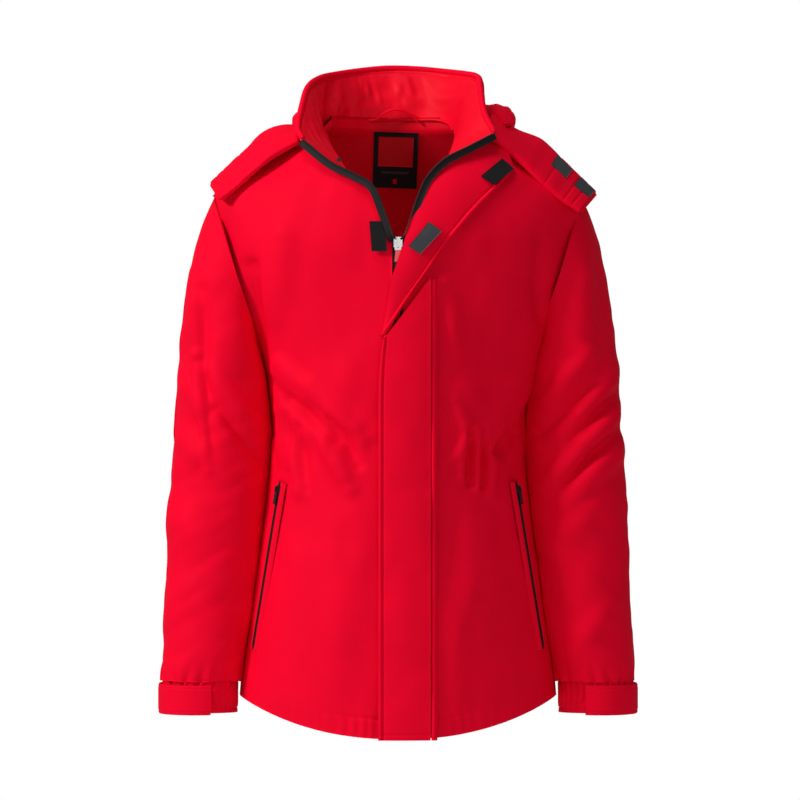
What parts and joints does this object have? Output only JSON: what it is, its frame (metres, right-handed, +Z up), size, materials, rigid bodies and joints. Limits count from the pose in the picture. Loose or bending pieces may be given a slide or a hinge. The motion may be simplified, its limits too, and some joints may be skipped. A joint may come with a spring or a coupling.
{
  "type": "jacket",
  "caption": "Hooded padded foul weather jacket in red softshell with storm flap, stand collar, cuff tabs and zipped pockets",
  "frame": {"origin": "the crown of the hanging loop inside the back of the neck", "axes": "+Z up along the back, +Y out of the back, +X to the wearer's left"},
  "size_m": [0.6214, 0.3131, 0.854],
  "materials": {
    "red_shell": "matte",
    "red_lining": "satin",
    "wadding": "matte",
    "black_tape": "matte",
    "black_loop": "matte",
    "grey_hook": "matte",
    "black_plastic": "satin",
    "silver_metal": "satin",
    "red_plastic": "gloss",
    "label_red": "matte"
  },
  "bodies": {
    "jacket": {"back_lining": "red_lining", "back_yoke_lining": "red_lining", "body_padding": "wadding", "body_shell": "red_shell", "collar_inner": "red_lining", "collar_outer": "red_shell", "collar_padding": "wadding", "front_lining": "red_lining", "hanger_loop": "red_lining", "hem_facing": "red_lining", "hook_patch_flap": "grey_hook", "loop_patch_flap": "black_loop", "loop_patch_front": "black_loop", "neck_label": "black_tape", "neck_label_patch": "label_red", "pocket_bag_left": "red_lining", "pocket_bag_right": "red_lining", "pocket_coil_left": "black_plastic", "pocket_coil_right": "black_plastic", "pocket_tape_left": "black_tape", "pocket_tape_right": "black_tape", "storm_flap_facing": "red_shell", "storm_flap_seam": "red_shell", "storm_flap_top": "red_shell", "waist_casing": "red_lining", "waist_elastic": "black_tape", "zip_box": "black_plastic", "zip_pin": "black_plastic", "zip_tape_left": "black_tape", "zip_tape_right": "black_tape", "zip_teeth_left": "black_plastic", "zip_teeth_right": "black_plastic", "zip_top_stops": "black_plastic"},
    "sleeve_left": {"sleeve_shell_left": "red_shell", "sleeve_padding_left": "wadding", "sleeve_lining_left": "red_lining", "cuff_left": "red_shell", "cuff_loop_left": "black_loop"},
    "sleeve_right": {"sleeve_shell_right": "red_shell", "sleeve_padding_right": "wadding", "sleeve_lining_right": "red_lining", "cuff_right": "red_shell", "cuff_loop_right": "black_loop"},
    "cuff_tab_left_body": {"cuff_tab_left": "red_shell", "cuff_tab_hook_left": "black_loop"},
    "cuff_tab_right_body": {"cuff_tab_right": "red_shell", "cuff_tab_hook_right": "black_loop"},
    "flap": {"storm_flap": "red_shell"},
    "slider": {"main_slider": "silver_metal"},
    "pull": {"main_pull_head": "silver_metal", "main_pull_grip": "red_plastic"},
    "pocket_slider_left_body": {"pocket_slider_left": "black_plastic"},
    "pocket_slider_right_body": {"pocket_slider_right": "black_plastic"},
    "pocket_pull_left_body": {"pocket_pull_left": "black_plastic"},
    "pocket_pull_right_body": {"pocket_pull_right": "black_plastic"},
    "hood": {"hood_shell": "red_shell", "hood_lining": "red_lining"},
    "hood_tab_left_body": {"hood_tab_left": "red_shell", "hook_patches_hood_tab": "grey_hook"},
    "hood_tab_right_body": {"hood_tab_right": "red_shell"}
  },
  "joints": [
    {"name": "sleeve_left_swing", "type": "hinge", "parent": "jacket", "child": "sleeve_left", "pos_m": [0.2055, -0.054, -0.201], "axis": [-0.9632, 0, 0.2689], "range_deg": [-20, 70]},
    {"name": "cuff_tab_left_open", "type": "hinge", "parent": "sleeve_left", "child": "cuff_tab_left_body", "pos_m": [0.243, -0.1153, -0.745], "axis": [0, 0, -1], "range_deg": [0, 100]},
    {"name": "pocket_slider_left_slide", "type": "slide", "parent": "jacket", "child": "pocket_slider_left_body", "axis": [0.1618, 0.1118, -0.9805], "range_m": [0, 0.188]},
    {"name": "pocket_pull_left_lift", "type": "hinge", "parent": "pocket_slider_left_body", "child": "pocket_pull_left_body", "pos_m": [0.15391, -0.13326, -0.47814], "axis": [-0.4757, -0.8617, -0.1768], "range_deg": [0, 120]},
    {"name": "hood_tab_left_lift", "type": "hinge", "parent": "jacket", "child": "hood_tab_left_body", "pos_m": [0.1404, -0.054, -0.0289], "axis": [0, -1, 0], "range_deg": [0, 100]},
    {"name": "sleeve_right_swing", "type": "hinge", "parent": "jacket", "child": "sleeve_right", "pos_m": [-0.2055, -0.054, -0.201], "axis": [-0.9632, 0, -0.2689], "range_deg": [-20, 70]},
    {"name": "cuff_tab_right_open", "type": "hinge", "parent": "sleeve_right", "child": "cuff_tab_right_body", "pos_m": [-0.243, -0.1153, -0.745], "axis": [0, 0, 1], "range_deg": [0, 100]},
    {"name": "pocket_slider_right_slide", "type": "slide", "parent": "jacket", "child": "pocket_slider_right_body", "axis": [-0.1618, 0.1118, -0.9805], "range_m": [0, 0.188]},
    {"name": "pocket_pull_right_lift", "type": "hinge", "parent": "pocket_slider_right_body", "child": "pocket_pull_right_body", "pos_m": [-0.15391, -0.13326, -0.47814], "axis": [-0.4757, 0.8617, 0.1768], "range_deg": [0, 120]},
    {"name": "hood_tab_right_lift", "type": "hinge", "parent": "jacket", "child": "hood_tab_right_body", "pos_m": [-0.1404, -0.054, -0.0289], "axis": [0, 1, 0], "range_deg": [0, 100]},
    {"name": "storm_flap_open", "type": "hinge", "parent": "jacket", "child": "flap", "pos_m": [0.0414, -0.2122, -0.508], "axis": [0, 0, 1], "range_deg": [0, 110]},
    {"name": "main_slider_slide", "type": "slide", "parent": "jacket", "child": "slider", "axis": [0, 0, -1], "range_m": [0, 0.6]},
    {"name": "main_pull_lift", "type": "hinge", "parent": "slider", "child": "pull", "pos_m": [0, -0.2021, -0.1665], "axis": [-1, 0, 0], "range_deg": [0, 150]},
    {"name": "hood_lift", "type": "hinge", "parent": "jacket", "child": "hood", "pos_m": [0, 0.022, -0.032], "axis": [1, 0, 0], "range_deg": [0, 60]}
  ]
}
